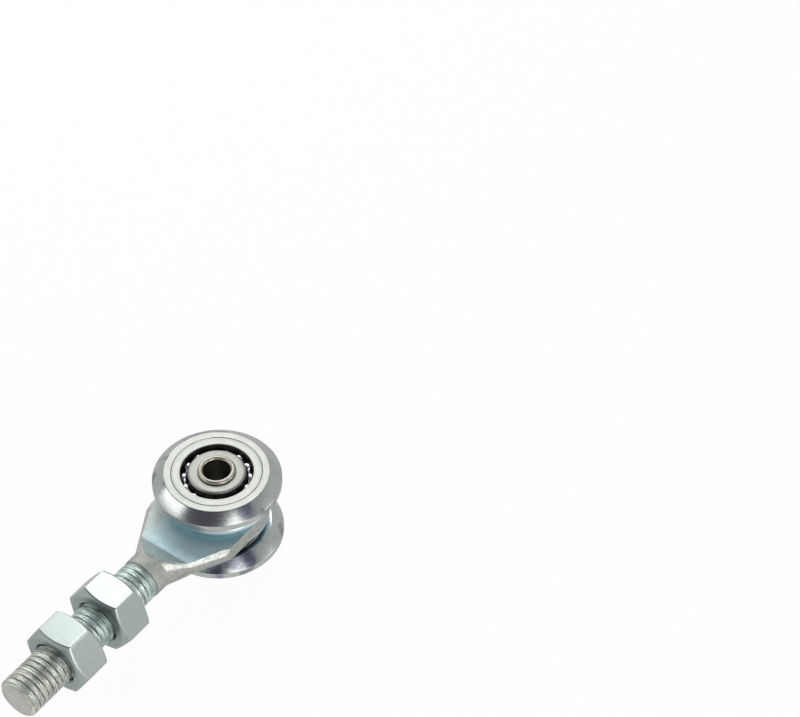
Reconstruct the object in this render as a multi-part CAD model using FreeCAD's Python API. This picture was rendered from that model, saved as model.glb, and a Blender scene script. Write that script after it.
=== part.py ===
import FreeCAD, Part
import math
import os

Vector = FreeCAD.Vector

# Sliding gate trolley: two ball-bearing rollers on a hollow axle, hung on an eye bolt with two nuts.
# Sizes are in millimetres. The axle runs along Z and the bolt along -X, from an origin in the axle's middle.

# Axle: a hollow rivet, its ends rolled over to lips
axle_bore = 7.7
axle_wall = 1.15
lip_overhang = 0.42
lip_straight = 0.22
axle_fit = 0.02

# Bearings, from the axle outwards
inner_race_wall = 3.4
shoulder_gap = 1.9
outer_race_wall = 2.5
ball_count = 14
ball_gap = 0.16
ball_play = 0.05
first_ball_angle = -3.0
inner_race_edge = 0.9
outer_race_edge = 0.2
race_fit = 0.01

# Roller rims
rim_face_width = 2.1
rim_bevel_height = 3.35
rim_bevel_width = 2.6
rim_land_width = 1.9
rim_edge = 0.2
rim_face_round = 0.8

# Spacer bushes between the paddle and the inner races, each with a flange as wide as the paddle it lies on
spacer_length = 4.3
spacer_wall = 2.0
flange_thickness = 2.4
flange_round = 1.9

# Eye bolt: its length from the axle, and its stretches from the axle outwards
bolt_length = 84.0
paddle_thickness = 4.8
head_width = 28.8
head_length = 13.4
flare_spread = 0.9
flare_height = 11.0
flat_length = 10.4
ramp_length = 6.4
flare_length = 16.2
neck_diameter = 12.3
neck_length = 4.4
thread_diameter = 12.0
thread_end_edge = 0.6

# Thread: its pitch, and the shares of the pitch that are flat at the crest and at the root
thread_pitch = 1.75
thread_angle = 60.0
thread_crest_share = 0.5
thread_root_share = 0.1

# Nuts and the stretches of bare thread between them
nut_wall = 3.55
nut_height = 10.2
nut_face_step = 0.9
nut_chamfer_angle = 30.0
nut_play = 0.05
nut_countersink = 0.8
thread_before_nuts = 8.15
nut_gap = 6.95
inner_nut_turn = 5.6
outer_nut_turn = -0.3

# Sizes that follow
bore_radius = axle_bore / 2
axle_radius = bore_radius + axle_wall
lip_radius = axle_radius + lip_overhang
eye_radius = axle_radius + axle_fit
spacer_radius = eye_radius + spacer_wall
flange_radius = head_width / 2
inner_race_radius = axle_radius + inner_race_wall
ball_circle = inner_race_radius + shoulder_gap / 2
ball_radius = ball_circle * math.sin(math.pi / ball_count) - ball_gap / 2
groove_radius = ball_radius + ball_play
outer_race_bore = inner_race_radius + shoulder_gap
outer_race_radius = outer_race_bore + outer_race_wall
rim_bore = outer_race_radius + race_fit
rim_face_radius = rim_bore + rim_face_width
rim_radius = rim_face_radius + rim_bevel_height
half_land = rim_land_width / 2
half_rim = half_land + rim_bevel_width
half_paddle = paddle_thickness / 2
roller_height = half_paddle + spacer_length + half_rim
stack_height = roller_height + half_rim
neck_radius = neck_diameter / 2
crease_at = head_length + flat_length
flare_end = head_length + flare_length
neck_end = flare_end + neck_length
thread_radius = thread_diameter / 2
half_groove = thread_pitch * (1 - thread_crest_share) / 2
half_root = thread_pitch * thread_root_share / 2
thread_slope = math.tan(math.radians(thread_angle / 2))
thread_depth = (half_groove - half_root) / thread_slope
inner_nut_at = neck_end + thread_before_nuts + nut_height / 2
outer_nut_at = inner_nut_at + nut_height + nut_gap
nut_bore = thread_radius + nut_play
nut_half_flats = thread_radius + nut_wall
nut_corner = nut_half_flats / math.cos(math.radians(30))
nut_face_radius = nut_half_flats - nut_face_step
nut_chamfer = (nut_corner - nut_face_radius) * math.tan(math.radians(nut_chamfer_angle))


def turned(edges):
    """A solid turned about Z from the closed outline that the edges make in the XZ plane."""
    outline = Part.Face(Part.Wire(Part.__sortEdges__(edges)))
    return outline.revolve(Vector(0, 0, 0), Vector(0, 0, 1), 360)


def outline(points):
    """The edges of a closed outline through (radius, height) points."""
    return Part.makePolygon([Vector(r, 0, z) for r, z in points + points[:1]]).Edges


def ring(inside, outside, half_height):
    """A plain ring about Z, centred on the origin."""
    bottom = [(inside, -half_height), (outside, -half_height)]
    top = [(outside, half_height), (inside, half_height)]
    return turned(outline(bottom + top))


def rounded(solid, circle_radius, radius):
    """The solid with its circular edges of one size rounded."""
    circles = [e for e in solid.Edges if isinstance(e.Curve, Part.Circle)]
    edges = [e for e in circles if math.isclose(e.Curve.Radius, circle_radius)]
    return solid.makeFillet(radius, edges)


def along_bolt(solid):
    """A solid made along +Z from the origin, laid along the bolt with its X towards Y."""
    turn = FreeCAD.Rotation(Vector(0, 1, 0), Vector(0, 0, -1), Vector(-1, 0, 0))
    laid = solid.copy()
    laid.Placement = FreeCAD.Placement(Vector(0, 0, 0), turn).multiply(laid.Placement)
    return laid


def rod(radius, start, end):
    """A round bar along the bolt."""
    return Part.makeCylinder(radius, end - start, Vector(-start, 0, 0), Vector(-1, 0, 0))


def axle_tube():
    """The hollow axle, with a half-round lip at each end."""
    lip_start = stack_height + lip_straight
    lip_middle = (bore_radius + lip_radius) / 2
    lip_top = lip_start + (lip_radius - bore_radius) / 2
    bottom_in = Vector(bore_radius, 0, -lip_start)
    bottom_out = Vector(lip_radius, 0, -lip_start)
    top_in = Vector(bore_radius, 0, lip_start)
    top_out = Vector(lip_radius, 0, lip_start)
    outside = [
        top_out,
        Vector(lip_radius, 0, stack_height),
        Vector(axle_radius, 0, stack_height),
        Vector(axle_radius, 0, -stack_height),
        Vector(lip_radius, 0, -stack_height),
        bottom_out,
    ]
    edges = Part.makePolygon(outside).Edges
    edges.append(Part.makeLine(bottom_in, top_in))
    edges.append(Part.Arc(top_in, Vector(lip_middle, 0, lip_top), top_out).toShape())
    edges.append(Part.Arc(bottom_in, Vector(lip_middle, 0, -lip_top), bottom_out).toShape())
    return turned(edges)


def rim():
    """A roller rim: two bevels down from a narrow running land."""
    body = turned(
        outline(
            [
                (rim_bore, -half_rim),
                (rim_face_radius, -half_rim),
                (rim_radius, -half_land),
                (rim_radius, half_land),
                (rim_face_radius, half_rim),
                (rim_bore, half_rim),
            ]
        )
    )
    for edge_radius in (rim_bore, rim_radius):
        body = rounded(body, edge_radius, rim_edge)
    return rounded(body, rim_face_radius, rim_face_round)


def outer_race():
    """The race pressed into the rim, with its ball groove."""
    groove = Part.makeTorus(ball_circle, groove_radius)
    body = ring(outer_race_bore, outer_race_radius, half_rim)
    body = rounded(body, outer_race_radius, outer_race_edge)
    body = rounded(body, outer_race_bore, outer_race_edge)
    return body.cut(groove)


def inner_race():
    """The race held on the axle, with its ball groove."""
    groove = Part.makeTorus(ball_circle, groove_radius)
    body = rounded(ring(eye_radius, inner_race_radius, half_rim), inner_race_radius, inner_race_edge)
    return body.cut(groove)


def ball(number):
    """One ball of a bearing, counted from 0 round the ball circle."""
    angle = math.radians(first_ball_angle + 360 * number / ball_count)
    middle = Vector(ball_circle * math.cos(angle), ball_circle * math.sin(angle), 0)
    return Part.makeSphere(ball_radius, middle)


def spacer():
    """The bush between the paddle and an inner race, with a round-edged flange at its foot."""
    half = spacer_length / 2
    flange_top = flange_thickness - half
    bend = flange_round * (1 - math.sqrt(0.5))
    round_start = Vector(flange_radius, 0, flange_top - flange_round)
    round_middle = Vector(flange_radius - bend, 0, flange_top - bend)
    round_end = Vector(flange_radius - flange_round, 0, flange_top)
    section = [
        round_end,
        Vector(spacer_radius, 0, flange_top),
        Vector(spacer_radius, 0, half),
        Vector(eye_radius, 0, half),
        Vector(eye_radius, 0, -half),
        Vector(flange_radius, 0, -half),
        round_start,
    ]
    edges = Part.makePolygon(section).Edges
    edges.append(Part.Arc(round_start, round_middle, round_end).toShape())
    return turned(edges)


def flare():
    """The round neck forged out to the paddle, spread sideways while two ramps bring it down to a flat."""
    half_spread = head_width / 2 + flare_spread
    wide = Part.Ellipse(Vector(0, 0, 0), half_spread, flare_height / 2).toShape()
    wide.translate(Vector(0, 0, head_length))
    narrow = Part.Circle(Vector(0, 0, flare_end), Vector(0, 0, 1), neck_radius).toShape()
    spread = along_bolt(Part.makeLoft([Part.Wire(wide), Part.Wire(narrow)], True, True))
    blank = spread.fuse(rod(neck_radius, flare_end, neck_end))
    rise = (neck_radius - half_paddle) / ramp_length
    ramp_top = half_paddle + rise * (neck_end - crease_at)
    side = [(neck_end, ramp_top), (crease_at, half_paddle), (head_length, half_paddle)]
    profile = [Vector(-s, 0, z) for s, z in side] + [Vector(-s, 0, -z) for s, z in reversed(side)]
    dies = Part.Face(Part.makePolygon(profile + profile[:1])).extrude(Vector(0, head_width, 0))
    dies.translate(Vector(0, -head_width / 2, 0))
    return blank.common(dies)


def thread_groove():
    """The groove between the thread's turns, wound along +Z from the neck to past the bolt's end."""
    start = neck_end + thread_pitch / 2
    turns = (bolt_length - neck_end) / thread_pitch + 0.5
    path = Part.makeHelix(thread_pitch, turns * thread_pitch, thread_radius)
    path.translate(Vector(0, 0, start))
    over = 0.3 * thread_depth
    half_mouth = half_groove + over * thread_slope
    section = [
        Vector(thread_radius + over, 0, start - half_mouth),
        Vector(thread_radius - thread_depth, 0, start - half_root),
        Vector(thread_radius - thread_depth, 0, start + half_root),
        Vector(thread_radius + over, 0, start + half_mouth),
    ]
    return Part.Wire(path).makePipeShell([Part.makePolygon(section + section[:1])], True, True)


def threaded_shank():
    """The shank from the neck on: a bar with the thread cut along it and a chamfered end."""
    overlap = neck_length / 2
    bar_length = bolt_length + 2 * thread_pitch - neck_end + overlap
    bar = Part.makeCylinder(thread_radius, bar_length, Vector(0, 0, neck_end - overlap))
    trim = [
        (0, neck_end - overlap),
        (neck_radius, neck_end - overlap),
        (neck_radius, bolt_length - thread_end_edge - neck_radius + thread_radius),
        (thread_radius - thread_end_edge, bolt_length),
        (0, bolt_length),
    ]
    return along_bolt(bar.cut(thread_groove()).common(turned(outline(trim))))


def hanger_bolt():
    """The eye bolt: paddle with its eye, flare, neck and threaded shank, one forging."""
    head = Part.makeCylinder(head_width / 2, paddle_thickness, Vector(0, 0, -half_paddle))
    corner = Vector(-head_length, -head_width / 2, -half_paddle)
    side = Part.makeBox(head_length, head_width, paddle_thickness, corner)
    eye = Part.makeCylinder(eye_radius, paddle_thickness, Vector(0, 0, -half_paddle))
    return flare().fuse([head, side, threaded_shank()]).cut(eye).removeSplitter()


def nut(turn):
    """A hexagon nut along the bolt, chamfered and countersunk at both ends, turned about its own axis."""
    half = nut_height / 2
    corners = []
    for k in range(6):
        angle = math.radians(turn + 60 * k)
        corners.append(Vector(nut_corner * math.cos(angle), -nut_corner * math.sin(angle), -half))
    hexagon = Part.Face(Part.makePolygon(corners + corners[:1])).extrude(Vector(0, 0, nut_height))
    mouth = nut_bore + nut_countersink
    section = [
        (nut_bore, -half + nut_countersink),
        (mouth, -half),
        (nut_face_radius, -half),
        (nut_corner, -half + nut_chamfer),
        (nut_corner, half - nut_chamfer),
        (nut_face_radius, half),
        (mouth, half),
        (nut_bore, half - nut_countersink),
    ]
    return along_bolt(hexagon.common(turned(outline(section))))


os.makedirs("parts", exist_ok=True)

hanger_bolt().exportStep("parts/hanger_bolt.step")
axle_tube().exportStep("parts/axle_tube.step")

nuts = {"inner_nut": (inner_nut_at, inner_nut_turn), "outer_nut": (outer_nut_at, outer_nut_turn)}
for name, (distance, turn) in nuts.items():
    piece = nut(turn)
    piece.translate(Vector(-distance, 0, 0))
    piece.exportStep(f"parts/{name}.step")

for side, sign in (("upper", 1), ("lower", -1)):
    for name, piece in (("rim", rim()), ("outer_race", outer_race()), ("inner_race", inner_race())):
        piece.translate(Vector(0, 0, sign * roller_height))
        piece.exportStep(f"parts/{side}_{name}.step")
    for number in range(ball_count):
        piece = ball(number)
        piece.translate(Vector(0, 0, sign * roller_height))
        piece.exportStep(f"parts/{side}_ball_{number + 1:02d}.step")
    piece = spacer()
    if side == "lower":
        piece.rotate(Vector(0, 0, 0), Vector(1, 0, 0), 180)
    piece.translate(Vector(0, 0, sign * (half_paddle + spacer_length / 2)))
    piece.exportStep(f"parts/{side}_spacer.step")
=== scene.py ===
import math

import bmesh
import bpy
from mathutils import Matrix, Vector


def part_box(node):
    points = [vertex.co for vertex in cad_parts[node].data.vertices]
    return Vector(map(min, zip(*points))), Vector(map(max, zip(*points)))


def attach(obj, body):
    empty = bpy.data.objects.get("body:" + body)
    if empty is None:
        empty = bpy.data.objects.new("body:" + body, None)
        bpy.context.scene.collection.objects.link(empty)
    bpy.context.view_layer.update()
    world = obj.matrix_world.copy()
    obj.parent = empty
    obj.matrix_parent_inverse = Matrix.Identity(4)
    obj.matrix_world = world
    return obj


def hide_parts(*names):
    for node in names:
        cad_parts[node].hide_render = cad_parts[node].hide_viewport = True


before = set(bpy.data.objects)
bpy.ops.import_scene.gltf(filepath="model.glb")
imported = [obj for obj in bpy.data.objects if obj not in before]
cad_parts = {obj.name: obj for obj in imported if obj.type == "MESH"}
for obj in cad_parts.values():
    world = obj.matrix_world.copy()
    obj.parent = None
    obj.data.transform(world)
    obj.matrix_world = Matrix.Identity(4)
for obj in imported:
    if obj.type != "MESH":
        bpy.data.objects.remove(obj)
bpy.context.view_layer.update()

bl_info = {
    "name": "Sliding Gate Trolley",
    "version": (1, 0, 0),
    "blender": (4, 5, 0),
    "location": "3D View > Sidebar > Gate Trolley",
    "description": "Dresses the two-roller gate trolley: eye bolt, nuts, rollers, bearings and axle",
    "category": "Object",
}

# The axle runs along Z and the bolt along -X, from an origin in the axle's middle. Lengths are in metres.
MM = 0.001
SIDES = {"upper": 1, "lower": -1}
BOLT_LOW, BOLT_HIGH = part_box("hanger_bolt")
RIM_LOW, RIM_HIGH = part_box("upper_rim")
OUTER_RACE_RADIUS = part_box("upper_outer_race")[1].x
INNER_RACE_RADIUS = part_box("upper_inner_race")[1].x
BUSH_LOW, BUSH_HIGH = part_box("upper_spacer")
AXLE_LOW, AXLE_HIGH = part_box("axle_tube")
BALL_LOW, BALL_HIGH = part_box("upper_ball_01")
NUTS = {name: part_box(name) for name in ("inner_nut", "outer_nut")}

ROLLER_HEIGHT = (RIM_LOW.z + RIM_HIGH.z) / 2
HALF_RIM = (RIM_HIGH.z - RIM_LOW.z) / 2
BALL_RADIUS = (BALL_HIGH.z - BALL_LOW.z) / 2
NECK_ROUND = 128  # points round the bolt's sections and its thread, so that the two meet
SIDE_STEPS = 24  # points up the side in each quarter of the forging's sections
MERGE_DISTANCE = 1e-7  # points nearer than this are taken as one
EDGE_TINT = (0.68, 0.68, 0.68, 1)  # how bright the metals stay at a grazing angle


def length(name, default, description):
    """A length that a user would change, in metres."""
    return bpy.props.FloatProperty(
        name=name, description=description, default=default, min=0.0, precision=5, unit="LENGTH"
    )


def angle_of(name, degrees, description):
    """An angle that a user would change."""
    default = math.radians(degrees)
    return bpy.props.FloatProperty(name=name, description=description, default=default, subtype="ANGLE")


def colour(name, default, description):
    """A finish that a user would change."""
    return bpy.props.FloatVectorProperty(
        name=name, description=description, default=default, size=4, min=0.0, max=1.0, subtype="COLOR"
    )


class TrolleySizes(bpy.types.PropertyGroup):
    """The sizes of the trolley's pieces that aren't plain from the frame."""

    thread_pitch: length("Thread Pitch", 1.75 * MM, "Distance from one thread crest to the next")
    thread_depth: length("Thread Depth", 0.36 * MM, "Height of the thread from root to crest")
    thread_radius: length("Thread Radius", 6.0 * MM, "Outside radius of the bolt's thread")
    thread_run_out: length("Thread Run-out", 1.6 * MM, "Stretch over which the thread fades in at the neck")
    neck_radius: length("Neck Radius", 6.15 * MM, "Radius of the bolt's plain neck")
    neck_end: length("Neck End", 34.0 * MM, "Distance from the axle to the thread's shoulder")
    shoulder_step: length("Shoulder Step", 0.45 * MM, "Step from the neck down to the thread's first turn")
    end_chamfer: length("End Chamfer", 0.8 * MM, "Chamfer round the bolt's end")
    paddle_half: length("Paddle Half Thickness", 2.4 * MM, "Half of the paddle's thickness")
    paddle_edge: length("Paddle Edge", 0.3 * MM, "Width of the broken edge round the paddle")
    head_length: length("Head Length", 13.4 * MM, "Distance from the axle to the flare")
    flare_end: length("Flare End", 29.6 * MM, "Distance from the axle to the round neck")
    flare_spread: length("Flare Spread", 0.9 * MM, "How far the flare swells past the paddle before trimming")
    flare_half: length("Flare Half Height", 5.5 * MM, "Half of the flare's height at its wide end")
    crease_at: length("Crease", 23.8 * MM, "Distance from the axle to the foot of the ramps")
    ramp_length: length("Ramp Length", 6.4 * MM, "Length of a ramp from the flat to the neck's height")
    sheared_edge: length("Sheared Edge", 1.15 * MM, "Width of the rough facet along the flare's edges")
    nut_across_flats: length("Nut Across Flats", 19.1 * MM, "Distance between two flats of a nut")
    nut_face_radius: length("Nut Face Radius", 8.65 * MM, "Radius of a nut's flat end face")
    nut_bore: length("Nut Bore", 6.05 * MM, "Radius of a nut's bore")
    nut_countersink: length("Nut Countersink", 0.8 * MM, "Depth of the countersink at a nut's mouth")
    rim_bore: length("Rim Bore", 12.81 * MM, "Radius of the hole that holds the outer race")
    rim_face: length("Rim Face Radius", 14.91 * MM, "Radius where a rim's bevel starts")
    rim_land: length("Rim Land", 1.9 * MM, "Width of a rim's running land")
    rim_edge: length("Rim Edge", 0.2 * MM, "Rounding of a rim's edges")
    rim_face_round: length("Rim Face Round", 0.8 * MM, "Rounding between a rim's face and its bevel")
    race_gap: length("Race Gap", 1.9 * MM, "Width of the open gap between the two races")
    race_edge: length("Race Edge", 0.2 * MM, "Rounding of the races' small edges")
    inner_race_edge: length("Inner Race Edge", 0.9 * MM, "Rounding of an inner race's edge at the gap")
    ball_play: length("Ball Play", 0.05 * MM, "Clearance between a ball and its groove")
    bush_radius: length("Bush Radius", 7.02 * MM, "Outside radius of a bush above its flange")
    eye_radius: length("Eye Radius", 5.02 * MM, "Radius of the eye and of the inner races' bore")
    axle_bore: length("Axle Bore", 3.85 * MM, "Radius of the hollow axle's bore")
    axle_radius: length("Axle Radius", 5.0 * MM, "Outside radius of the hollow axle")
    flange_radius: length("Flange Radius", 14.4 * MM, "Radius of the flange on each bush")
    flange_thickness: length("Flange Thickness", 2.4 * MM, "Thickness of the flange on each bush")
    flange_round: length("Flange Round", 1.9 * MM, "Rounding of the flange's outer edge")
    lip_straight: length("Lip Straight", 0.22 * MM, "Straight stretch under the axle's rolled lip")
    inner_nut_turn: angle_of("Inner Nut Turn", 5.6, "Angle by which the inner nut is turned")
    outer_nut_turn: angle_of("Outer Nut Turn", -0.3, "Angle by which the outer nut is turned")
    first_ball: angle_of("First Ball", -3.0, "Angle of the first ball in each bearing")
    ball_count: bpy.props.IntProperty(name="Balls", description="Balls in each bearing", default=14, min=3)


class TrolleyFinishes(bpy.types.PropertyGroup):
    """The colours of the trolley's metals."""

    zinc: colour("Zinc", (0.47, 0.495, 0.48, 1), "Bright zinc plating")
    zinc_nut: colour("Nut Zinc", (0.385, 0.43, 0.42, 1), "Cooler zinc on the nuts' flats")
    pressed: colour("Pressed Zinc", (0.64, 0.85, 0.895, 1), "Satin teal zinc of the pressed paddle")
    # Painted shade: the deeper teal round the bushes stands in for the upper roller's dark underside mirrored
    # in the paddle.
    pressed_painted_shade: colour("Pressed Deep Zinc", (0.46, 0.74, 0.82, 1), "Deeper teal round the bushes")
    # Painted reflection: the paler zinc towards one edge of the paddle stands in for the bright room mirrored
    # there.
    pressed_painted_reflection: colour("Pressed Edge Zinc", (0.66, 0.73, 0.71, 1), "Paler zinc at the paddle's worn edge")
    # Partly painted highlight: the sheared facets' brighter zinc is their own finish, made paler to stand in
    # for the light they mirror.
    sheared: colour("Sheared Zinc", (0.64, 0.65, 0.61, 1), "Bright zinc on the flare's sheared edges")
    bush: colour("Bush Zinc", (0.56, 0.66, 0.69, 1), "Bluish zinc of the bushes")
    stain: colour("Plating Stain", (0.20, 0.205, 0.25, 1), "Purple stains in the rims' plating")
    forged: colour("Forged Zinc", (0.53, 0.55, 0.51, 1), "Warm grey of the forged neck and edges")
    thread: colour("Thread Zinc", (0.55, 0.635, 0.615, 1), "Teal grey of the rolled thread")
    thread_end: colour("Thread End Zinc", (0.56, 0.585, 0.53, 1), "Warmer grey towards the thread's end")
    face: colour("Ground Face", (0.48, 0.495, 0.46, 1), "Off-white of the rims' faces")
    race_face: colour("Outer Race Face", (0.425, 0.44, 0.41, 1), "Off-white of the outer races' faces")
    inner_face: colour("Inner Race Face", (0.34, 0.35, 0.32, 1), "Warmer grey of the inner races' faces")
    # Painted shade: the nuts' ends are darkened to stand in for the dark surroundings they mirror.
    end_face: colour("Nut End Face", (0.31, 0.37, 0.365, 1), "Darker pressed ends of the nuts")
    nickel: colour("Nickel", (0.42, 0.395, 0.335, 1), "Beige nickel of the hollow axle")
    nickel_dull: colour("Dull Nickel", (0.31, 0.295, 0.26, 1), "Duller patches in the nickel")
    # Partly painted shade: the bore's dark, oxidised wall also stands in for the shade deep in the hole.
    oxide_and_shade: colour("Bore Oxide", (0.26, 0.25, 0.225, 1), "Dull dark wall of the axle's bore")
    grease: colour("Grease", (0.012, 0.010, 0.009, 1), "Dark grease in the ball grooves")
    steel: colour("Ball Steel", (0.78, 0.79, 0.80, 1), "Polished steel of the balls")
    floor: colour("Floor", (0.92, 0.92, 0.92, 1), "Pale studio floor")


def put(tree, kind, values=(), **settings):
    """A node with its settings, and with its inputs set to values or linked to other nodes' outputs."""
    node = tree.nodes.new(kind)
    for key, value in settings.items():
        setattr(node, key, value)
    for key, value in dict(values).items():
        socket = node.inputs[key]
        if isinstance(value, bpy.types.NodeSocket):
            tree.links.new(value, socket)
        else:
            socket.default_value = value
    return node


def sums(tree, operation, first, second=0.0, third=0.0):
    """The result of one sum on numbers or outputs, in a shader or a geometry tree."""
    return put(tree, "ShaderNodeMath", {0: first, 1: second, 2: third}, operation=operation).outputs[0]


def plus(tree, first, second):
    """Two numbers or outputs added."""
    return sums(tree, "ADD", first, second)


def minus(tree, first, second):
    """The second number or output taken from the first."""
    return sums(tree, "SUBTRACT", first, second)


def times(tree, first, second):
    """Two numbers or outputs multiplied."""
    return sums(tree, "MULTIPLY", first, second)


def over(tree, first, second):
    """The first number or output divided by the second."""
    return sums(tree, "DIVIDE", first, second)


def off_axis(tree, first, second):
    """How far a place is from an axis, from its two coordinates across that axis."""
    return sums(tree, "SQRT", sums(tree, "MULTIPLY_ADD", second, second, times(tree, first, first)))


def noise(tree, values, dimensions="3D"):
    """A noise texture's value."""
    return put(tree, "ShaderNodeTexNoise", values, noise_dimensions=dimensions).outputs["Fac"]


def spread(tree, value, low, high, to_low=0.0, to_high=1.0, smooth=True):
    """A value taken from one range to another, clamped."""
    node = put(
        tree,
        "ShaderNodeMapRange",
        {"Value": value, "From Min": low, "From Max": high, "To Min": to_low, "To Max": to_high},
        interpolation_type="SMOOTHSTEP" if smooth else "LINEAR",
    )
    return node.outputs["Result"]


def mixed(tree, factor, first, second):
    """A colour between two colours."""
    node = put(tree, "ShaderNodeMix", {0: factor, 6: first, 7: second}, data_type="RGBA")
    return node.outputs[2]


def new_group(name, inputs, outputs):
    """An empty shader group with named sockets, the values it is given and the sockets of its result."""
    group = bpy.data.node_groups.new(name, "ShaderNodeTree")
    kinds = {"vector": "NodeSocketVector", "colour": "NodeSocketColor", "value": "NodeSocketFloat"}
    for label, kind in inputs.items():
        group.interface.new_socket(label, in_out="INPUT", socket_type=kinds[kind])
    for label, kind in outputs.items():
        group.interface.new_socket(label, in_out="OUTPUT", socket_type=kinds[kind])
    return group, group.nodes.new("NodeGroupInput").outputs, group.nodes.new("NodeGroupOutput").inputs


def plating_grain():
    """The plating's fine grain and its broad duller patches."""
    name = "Plating Grain"
    if name in bpy.data.node_groups:
        return bpy.data.node_groups[name]
    group, given, result = new_group(
        name,
        {
            "Vector": "vector",
            "Bright": "colour",
            "Dull": "colour",
            "Grain Size": "value",
            "Patch Size": "value",
            "Contrast": "value",
        },
        {"Colour": "colour", "Mask": "value", "Grain": "value"},
    )
    noises = []
    for size, detail in (("Grain Size", 3.0), ("Patch Size", 4.0)):
        scale = over(group, 1.0, given[size])
        values = {"Vector": given["Vector"], "Scale": scale, "Detail": detail, "Roughness": 0.6}
        noises.append(noise(group, values))
    grain, patch = noises
    grain_share = 0.45
    both = plus(group, times(group, grain, grain_share), times(group, patch, 1 - grain_share))
    offset = times(group, minus(group, both, 0.5), given["Contrast"])
    mask = put(group, "ShaderNodeClamp", {0: plus(group, offset, 0.5)}).outputs[0]
    plating = mixed(group, mask, given["Dull"], given["Bright"])
    for label, value in (("Colour", plating), ("Mask", mask), ("Grain", grain)):
        group.links.new(value, result[label])
    return group


def turning_marks():
    """Fine uneven rings left by the lathe on a piece that is turned about Z."""
    name = "Turning Marks"
    if name in bpy.data.node_groups:
        return bpy.data.node_groups[name]
    group, given, result = new_group(name, {"Vector": "vector", "Spacing": "value"}, {"Rings": "value"})
    height_share = 0.83  # rings follow each other a little slower along Z than across it
    parts = put(group, "ShaderNodeSeparateXYZ", {0: given["Vector"]}).outputs
    across = off_axis(group, parts["X"], parts["Y"])
    along = sums(group, "MULTIPLY_ADD", parts["Z"], height_share, across)
    values = {"W": over(group, along, given["Spacing"]), "Scale": 1.0, "Detail": 2.0, "Roughness": 0.5}
    group.links.new(noise(group, values, "1D"), result["Rings"])
    return group


def greased_gap():
    """How much grease covers a place in the ball gap of either roller."""
    name = "Greased Gap"
    if name in bpy.data.node_groups:
        return bpy.data.node_groups[name]
    group, given, result = new_group(
        name,
        {"Vector": "vector", "Inside": "value", "Outside": "value", "Depth": "value", "Half Height": "value"},
        {"Grease": "value", "Smear": "value"},
    )
    wander_width, soft_edge = 0.3 * MM, 0.12 * MM
    parts = put(group, "ShaderNodeSeparateXYZ", {0: given["Vector"]}).outputs
    smear = noise(group, {"Vector": given["Vector"], "Scale": 900.0, "Detail": 3.0, "Roughness": 0.6})
    wander = times(group, minus(group, smear, 0.5), wander_width)
    radius = plus(group, off_axis(group, parts["X"], parts["Y"]), wander)
    past_inner = minus(group, radius, given["Inside"])
    past_outer = minus(group, given["Outside"], radius)
    from_middle = minus(group, sums(group, "ABSOLUTE", parts["Z"]), given["Half Height"])
    height = plus(group, sums(group, "ABSOLUTE", from_middle), wander)
    under = minus(group, given["Depth"], height)
    within = sums(group, "MINIMUM", sums(group, "MINIMUM", past_inner, past_outer), under)
    group.links.new(spread(group, within, -soft_edge, soft_edge), result["Grease"])
    group.links.new(smear, result["Smear"])
    return group


def new_material(name):
    """A material with its shader, its tree and the piece's own coordinates."""
    material = bpy.data.materials.new(name)
    material.use_nodes = True
    tree = material.node_tree
    shader = tree.nodes["Principled BSDF"]
    shader.inputs["Metallic"].default_value = 1.0
    shader.inputs["Specular Tint"].default_value = EDGE_TINT
    where = put(tree, "ShaderNodeTexCoord").outputs["Object"]
    return material, tree, shader, where


def grain_of(tree, where, bright, dull, grain=0.25 * MM, patch=3.5 * MM, contrast=2.0):
    """The plating's grain in a material."""
    values = {"Vector": where, "Bright": bright, "Dull": dull}
    values |= {"Grain Size": grain, "Patch Size": patch, "Contrast": contrast}
    return put(tree, "ShaderNodeGroup", values, node_tree=plating_grain()).outputs


def dulled(tree, bright, share):
    """A colour made duller, or brighter by a share over 1."""
    values = {0: bright, 1: (share, share, share)}
    return put(tree, "ShaderNodeVectorMath", values, operation="MULTIPLY").outputs[0]


def bumped(tree, height, distance, strength=1.0, under=None):
    """A normal that follows a height, on top of another bump where there is one."""
    values = {"Height": height, "Distance": distance, "Strength": strength}
    if under is not None:
        values["Normal"] = under
    return put(tree, "ShaderNodeBump", values).outputs["Normal"]


def marked(tree, name):
    """The mark that a piece's faces carry under that name."""
    return put(tree, "ShaderNodeAttribute", attribute_name=name).outputs["Fac"]


def shade(tree, shader, **links):
    """Links colours, values and normals to the shader's sockets."""
    names = {"base": "Base Color", "rough": "Roughness", "normal": "Normal", "metal": "Metallic"}
    for key, value in links.items():
        tree.links.new(value, shader.inputs[names[key]])


def thread_lines(tree, parts, along, sizes):
    """Marks along the thread: darker lines in each root and along each crest's seam, and the rolling's fine
    streaks.
    """
    around = sums(tree, "ARCTAN2", times(tree, parts["Z"], -1.0), parts["Y"])
    turns = over(tree, minus(tree, along, sizes.neck_end), sizes.thread_pitch)
    phase = sums(tree, "FRACT", sums(tree, "MULTIPLY_ADD", around, -0.5 / math.pi, turns))
    wave = sums(tree, "ABSOLUTE", sums(tree, "MULTIPLY_ADD", phase, 2.0, -1.0))
    root_line = spread(tree, wave, 0.2, 0.0)
    seam_line = spread(tree, wave, 0.84, 0.96, 0.0, 0.5)
    lines = sums(tree, "MAXIMUM", root_line, seam_line)
    streak_ring, streak_length, streak_reach = 0.75, 1.2 * MM, 3.0 * MM
    angle = times(tree, phase, 2 * math.pi)
    place = put(
        tree,
        "ShaderNodeCombineXYZ",
        {
            "X": times(tree, sums(tree, "COSINE", angle), streak_ring),
            "Y": times(tree, sums(tree, "SINE", angle), streak_ring),
            "Z": over(tree, along, streak_length),
        },
    ).outputs[0]
    across = over(tree, plus(tree, parts["Y"], parts["Z"]), streak_reach)
    values = {"Vector": place, "W": across, "Scale": 1.0, "Detail": 2.0, "Roughness": 0.6}
    return lines, spread(tree, noise(tree, values, "4D"), 0.40, 0.60)


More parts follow.
